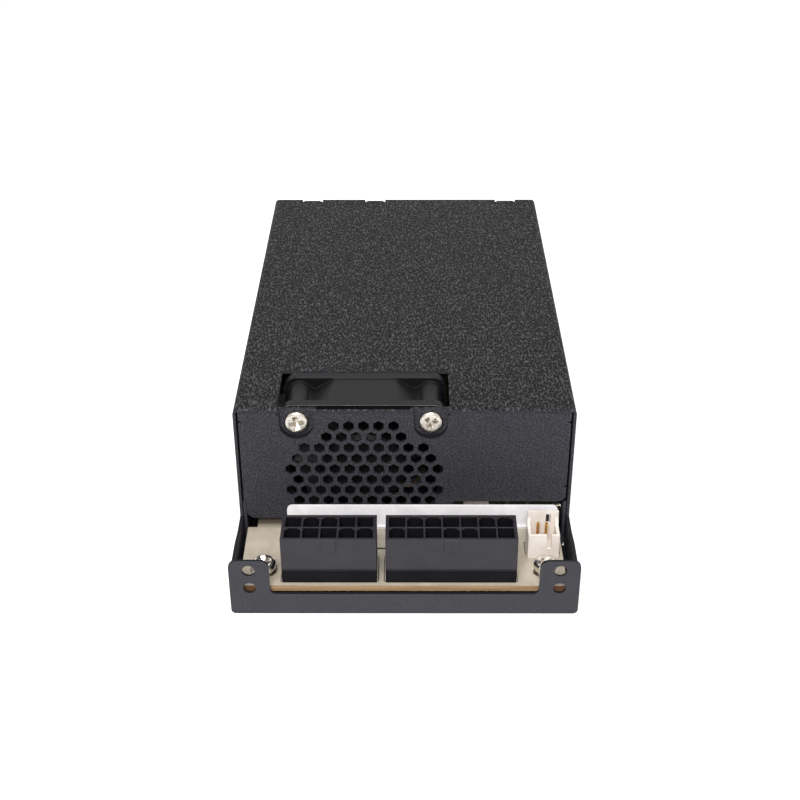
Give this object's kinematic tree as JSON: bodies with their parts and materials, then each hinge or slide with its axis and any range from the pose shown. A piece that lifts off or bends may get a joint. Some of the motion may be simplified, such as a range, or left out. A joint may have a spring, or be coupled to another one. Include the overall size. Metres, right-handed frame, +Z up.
{
  "type": "flex atx power supply",
  "caption": "Slim server power supply in a black sheet steel case, with a connector shelf at the front, a fan behind a hexagon grille and a mains inlet at the rear.",
  "frame": {"origin": "middle of the case's base", "axes": "+X to the right as seen from the connector shelf, +Y from the shelf to the mains inlet, +Z up"},
  "size_m": [0.0816, 0.15, 0.0405],
  "materials": {
    "black_steel": "fine crinkle powder coat",
    "plated_steel": "bright zinc plate",
    "black_plastic": "satin moulded",
    "header_plastic": "satin moulded",
    "white_plastic": "satin moulded",
    "white_sheet": "smooth sheet",
    "tan_laminate": "printed board laminate",
    "green_laminate": "solder resist over laminate",
    "clear_film": "smooth film",
    "tinned_metal": "tin plate",
    "turned_brass": "turned",
    "sintered_bronze": "sintered",
    "enamelled_copper": "enamelled wire",
    "ferrite": "ground",
    "core_steel": "stacked sheet",
    "plain_aluminium": "rolled",
    "capacitor_sleeve": "shrunk sleeve",
    "yellow_plastic": "moulded case",
    "yellow_tape": "wound tape",
    "blue_epoxy": "dipped coating",
    "black_epoxy": "moulded package",
    "white_ceramic": "glazed tube with plated caps",
    "black_pvc": "wire insulation",
    "brown_pvc": "wire insulation",
    "blue_pvc": "wire insulation",
    "green_pvc": "wire insulation"
  },
  "bodies": {
    "case": {"base_tray": "black_steel", "top_cover": "black_steel", "cover_screws": "plated_steel", "fan_screws": "plated_steel", "ac_inlet_screws": "plated_steel", "board_screws": "plated_steel", "board_flat_washers": "plated_steel", "board_spring_washers": "plated_steel", "fan_frame": "black_plastic", "fan_bearing": "sintered_bronze", "fan_circuit_board": "green_laminate", "fan_stator": "core_steel", "fan_coils": "enamelled_copper", "fan_leads": "black_pvc", "fan_plug": "white_plastic", "fan_header": "white_plastic", "insulation_sheet": "clear_film", "board_standoffs": "turned_brass", "main_board": "tan_laminate", "output_header_10": "header_plastic", "output_header_14": "header_plastic", "output_terminals_10": "tinned_metal", "output_terminals_14": "tinned_metal", "sense_header": "white_plastic", "sense_pins": "tinned_metal", "air_baffle": "white_sheet", "ac_inlet": "black_plastic", "ac_inlet_blades": "tinned_metal", "live_lead": "brown_pvc", "neutral_lead": "blue_pvc", "earth_lead": "green_pvc", "line_fuse": "white_ceramic", "fuse_clips": "tinned_metal", "x_capacitor": "yellow_plastic", "y_capacitors": "blue_epoxy", "varistor": "blue_epoxy", "inrush_thermistor": "black_epoxy", "line_choke_core": "ferrite", "line_choke_windings": "enamelled_copper", "primary_heatsink": "plain_aluminium", "bridge_rectifier": "black_epoxy", "primary_transistors": "black_epoxy", "bulk_capacitor": "capacitor_sleeve", "pfc_choke_core": "ferrite", "pfc_choke_winding": "enamelled_copper", "main_transformer_core": "ferrite", "main_transformer_winding": "yellow_tape", "standby_transformer_core": "ferrite", "standby_transformer_winding": "yellow_tape", "optocouplers": "white_plastic", "control_board": "green_laminate", "secondary_heatsink": "plain_aluminium", "secondary_rectifiers": "black_epoxy", "output_choke_core": "ferrite", "output_choke_winding": "enamelled_copper", "output_capacitors": "capacitor_sleeve", "current_shunt": "tinned_metal"},
    "fan_wheel": {"fan_rotor": "black_plastic", "fan_shaft": "plated_steel", "fan_magnet": "ferrite"}
  },
  "joints": [
    {"name": "fan_spin", "type": "hinge", "parent": "case", "child": "fan_wheel", "pos_m": [-0.00975, -0.0398, 0.0206], "axis": [0, -1, 0], "continuous": true}
  ]
}
